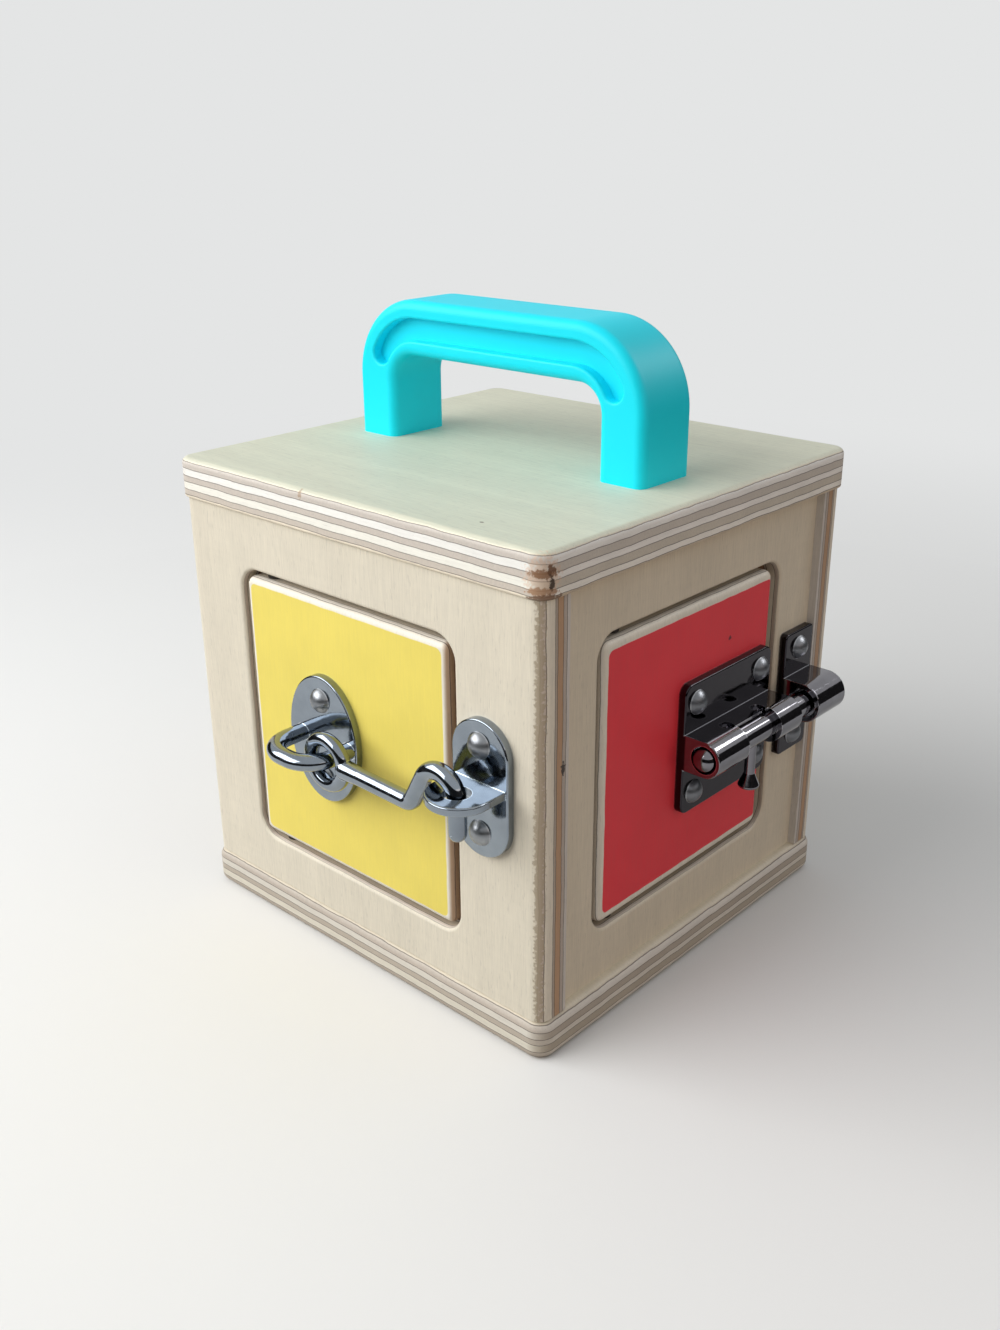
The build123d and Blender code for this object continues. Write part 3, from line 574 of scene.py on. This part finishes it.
def painted_door(name, axis, outside, inward, across, centre, half, paint, side, marks=()):
    """Birch board with a painted field on its face; marks as on the plain boards.

    centre and half place the field in mm. side is painted shade: a darker tone multiplied onto
    the bare wood of the edge at the latch, which faces away from the lamps.
    """
    material = fresh(name)
    tree = material.node_tree
    # Door layers, face tone and end grain are paler than the panel's: painted light on the bare
    # edges.
    colour, rough, height, place, apart = board(tree, axis, outside, inward, DOOR_LAYERS, "Z",
                                                "#F3ECDC", DOOR_END_GRAIN_PAINTED_LIGHT)
    # Painted shade on the bare edge at the latch, where the surface faces that way.
    facing = add(tree, "ShaderNodeTexCoord").outputs["Normal"]
    facing = add(tree, "ShaderNodeSeparateXYZ", {0: facing}).outputs[across[0]]
    facing = spread(tree, facing, 0.0, 1.0, 0.1, 0.6)
    colour = add(tree, "ShaderNodeMix", {0: facing, 6: colour, 7: linear(side)},
                 data_type="RGBA", blend_type="MULTIPLY").outputs[2]
    inset = inside_outline(tree, apart, across, centre, half, PAINT_CORNER)
    ragged = add(tree, "ShaderNodeTexNoise", {"Vector": place, "Scale": 160.0, "Detail": 3.0})
    inset = add(tree, "ShaderNodeMath", {0: ragged.outputs["Fac"], 1: 0.5,
                                         2: inset.outputs[0]}, operation="MULTIPLY_ADD")
    cover = spread(tree, inset.outputs[0], 0.0, 1.0, 0.25, 0.5)
    front = add(tree, "ShaderNodeMath", {0: apart.outputs[axis], 1: outside * MM},
                operation="SUBTRACT")
    front = add(tree, "ShaderNodeMath", {0: front.outputs[0]}, operation="ABSOLUTE")
    front = add(tree, "ShaderNodeMath", {0: front.outputs[0], 1: PAINT_DEPTH * MM},
                operation="LESS_THAN")
    cover = add(tree, "ShaderNodeMath", {0: cover, 1: front.outputs[0]}, operation="MULTIPLY")
    mottle = add(tree, "ShaderNodeTexNoise", {"Vector": place, "Scale": 38.0, "Detail": 5.0,
                                              "Roughness": 0.6})
    tone = add(tree, "ShaderNodeMath", {0: spread(tree, mottle.outputs["Fac"], 0.94, 1.03),
                                        1: spread(tree, height, 0.97, 1.02)},
               operation="MULTIPLY")
    coat = add(tree, "ShaderNodeVectorMath", {0: linear(paint)[:3], "Scale": tone.outputs[0]},
               operation="SCALE")
    colour = add(tree, "ShaderNodeMix", {0: cover.outputs[0], 6: colour, 7: coat.outputs[0]},
                 data_type="RGBA").outputs[2]
    if marks:
        colour = specks(tree, place, colour, marks)
    finish(material, colour, rough, height, bump=0.3, IOR=1.5)
    return material


# The last colour of each door is painted shade for its bare edge at the latch.
yellow = painted_door("yellow_paint_on_birch", 1, FRONT_FACE, 1, (0, 2), (-2.3, 71.1),
                      (39.2, 40.2), "#F5E16C", "#BFA48F")
red = painted_door("red_paint_on_birch", 0, SIDE_FACE, -1, (1, 2), (-2.1, 71.2),
                   (38.5, 39.3), "#F43A46", "#F2E4DA", RED_DOOR_MARKS)
dress(yellow, "front_door")
dress(red, "right_door")
for paint in (yellow, red):
    print(paint.name, len(paint.node_tree.nodes), "nodes")

# %% [markdown]
# ## Moulded handle
# The handle is injection-moulded polypropylene in cyan. A spark-eroded mould leaves a satin
# skin: the colour is even, the highlight is broad, and the light sinks in slightly.

# %% Cyan plastic
cyan = fresh("satin_polypropylene_cyan")
tree = cyan.node_tree
place = add(tree, "ShaderNodeTexCoord").outputs["Object"]
spark = add(tree, "ShaderNodeTexNoise", {"Vector": place, "Scale": 1400.0, "Detail": 2.0})
flow = add(tree, "ShaderNodeTexNoise", {"Vector": place, "Scale": 28.0, "Detail": 3.0})
tone = add(tree, "ShaderNodeMix", {0: flow.outputs["Fac"], 6: linear("#08E2F6"),
                                   7: linear("#12E8FA")}, data_type="RGBA")
rough = spread(tree, flow.outputs["Fac"], 0.4, 0.52, 0.0, 1.0)
finish(cyan, tone.outputs[2], rough, spark.outputs["Fac"], bump=0.12, distance=0.06 * MM,
       IOR=1.49, Specular_IOR_Level=0.25, Subsurface_Weight=0.08,
       Subsurface_Radius=(0.001, 0.003, 0.003), Subsurface_Scale=1.0)
dress(cyan, "carry_handle")
print(cyan.name, len(tree.nodes), "nodes")

# %% [markdown]
# ## Plated metal
# The hook and its plates are die-cast and pressed steel with bright nickel plating, the barrel
# bolt has the darker black-nickel plating. Tumbling before the bath rounds every edge and
# leaves a mirror that is not quite flat: a slow waviness and fine scratches. The rims are lighter
# in tone, partly rubbed plating and partly a painted highlight.

# %% Plating
RIM_REACH = 0.7
# The outer faces of the bolt's plates lie at 71.0 mm along X. The barrel, the rod and the knob
# stand out further, and the painted shade on the plates ends between these two values.
PLATE_END, BARREL_START = 71.1, 71.6


def rubbed_edges_and_painted_highlight(tree, reach):
    """1 on rims and edges: there the normal, averaged over reach in mm, leaves the true one."""
    even = add(tree, "ShaderNodeBevel", {"Radius": reach * MM}, samples=8)
    true = add(tree, "ShaderNodeNewGeometry")
    match = add(tree, "ShaderNodeVectorMath", {0: even.outputs[0], 1: true.outputs["Normal"]},
                operation="DOT_PRODUCT")
    return spread(tree, match.outputs["Value"], 1.0, 0.0, 0.86, 0.99)


def plated(name, light, dark, rim, smooth, worn, wave=0.25, flat=None):
    """A plated metal: two tones in clouds, rims lighter as rubbed plating and painted highlight,
    roughness in clouds, a slow wave.

    flat is a darker tone painted on the plates that lie on the red door's side: painted shade
    for the dark surroundings that they mirror there.
    """
    material = fresh(name)
    tree = material.node_tree
    place = add(tree, "ShaderNodeTexCoord").outputs["Object"]
    cloud = add(tree, "ShaderNodeTexNoise", {"Vector": place, "Scale": 120.0, "Detail": 4.0})
    rub = add(tree, "ShaderNodeTexNoise", {"Vector": place, "Scale": 700.0, "Detail": 5.0,
                                           "Roughness": 0.7})
    tone = add(tree, "ShaderNodeMix", {0: cloud.outputs["Fac"], 6: linear(dark),
                                       7: linear(light)}, data_type="RGBA")
    # Painted shade: the bolt's plates take the darker flat tone.
    if flat:
        apart = add(tree, "ShaderNodeSeparateXYZ", {0: place})
        low = spread(tree, apart.outputs["X"], 1.0, 0.0, PLATE_END * MM, BARREL_START * MM)
        tone = add(tree, "ShaderNodeMix", {0: low, 6: tone.outputs[2], 7: linear(flat)},
                   data_type="RGBA")
    # Rims are lightened: partly rubbed plating, partly a painted highlight.
    edge = add(tree, "ShaderNodeMath", {0: rubbed_edges_and_painted_highlight(tree, RIM_REACH), 1: 0.8},
               operation="MULTIPLY")
    tone = add(tree, "ShaderNodeMix", {0: edge.outputs[0], 6: tone.outputs[2], 7: linear(rim)},
               data_type="RGBA")
    rough = spread(tree, rub.outputs["Fac"], smooth, worn, 0.35, 0.7)
    slow = add(tree, "ShaderNodeTexNoise", {"Vector": place, "Scale": 210.0, "Detail": 1.0})
    finish(material, tone.outputs[2], rough, slow.outputs["Fac"], bump=wave,
           distance=0.2 * MM, Metallic=1.0)
    return material


print("rims are rubbed over", RIM_REACH, "mm")

# %% [markdown]
# ## Bright, dark and dull metal
# The hook and its plates mirror the room, the bolt mirrors it darkly. The heads of the pins were
# tumbled but never polished, so they show a soft highlight and no mirror image. Those of the bolt
# are rougher, and their darker tone is painted shade, as on the bolt's plates. The hidden pivots
# are blued and oiled, near black with a warm sheen. The handle's screws have plain zinc, a dull
# warm grey.

# %% Six metals
# The third tone of each metal is its rims' tone: partly rubbed plating, partly a painted
# highlight.
bright = plated("bright_nickel_plating", "#9DA6AF", "#757D87", "#E0E6EB", 0.05, 0.17)
# The flat tone is painted shade on the bolt's plates.
dark = plated("black_nickel_plating", "#8C8B90", "#6A686D", "#C9C9CD", 0.05, 0.12, wave=0.15,
              flat="#353236")
head = plated("nickel_pin_heads", "#A2A5A9", "#7E8185", "#C6C9CC", 0.3, 0.42)
# The bolt's pins are rougher, and darker as painted shade.
dull_shaded_head = plated("dull_pin_heads_painted_shade", "#85878B", "#66686C", "#A9ABAF", 0.34, 0.46)
oiled = plated("blued_steel", "#4E4842", "#36322E", "#6A645C", 0.35, 0.5)
plain = plated("zinc_plated_steel", "#B4AC9E", "#9A9286", "#C4BDB0", 0.35, 0.5)
dress(bright, "hook_staple_plate", "cabin_hook", "hook_keeper")
dress(head, "hook_staple_pins", "hook_keeper_pins")
dress(dull_shaded_head, "bolt_housing_pins", "bolt_keeper_pins")
dress(dark, "bolt_housing", "bolt_rod", "bolt_knob", "bolt_keeper")
dress(plain, "handle_screws")
dress(oiled, "front_door_pivots", "right_door_pivots")
for metal in (bright, dark, head, dull_shaded_head, plain, oiled):
    print(metal.name, len(metal.node_tree.nodes), "nodes")

# %% [markdown]
# ## Dowels
# Beech dowels hold the panels. They sit blind in their holes, so only a box that is taken apart
# shows them: a warmer, pinker wood than birch with short dark rays.

# %% Beech dowels
beech = fresh("beech_dowel_rod")
tree = beech.node_tree
place = add(tree, "ShaderNodeTexCoord").outputs["Object"]
ray = stretched(tree, place, "Z", 900.0, 110.0, Detail=4.0)
tone = add(tree, "ShaderNodeMix", {0: ray, 6: linear("#B98F68"), 7: linear("#DDBB93")},
           data_type="RGBA")
finish(beech, tone.outputs[2], spread(tree, ray, 0.6, 0.75, 0.0, 1.0), ray, bump=0.3, IOR=1.5)
dress(beech, "base_dowels", "lid_dowels", "corner_dowels")
print(beech.name, len(tree.nodes), "nodes")
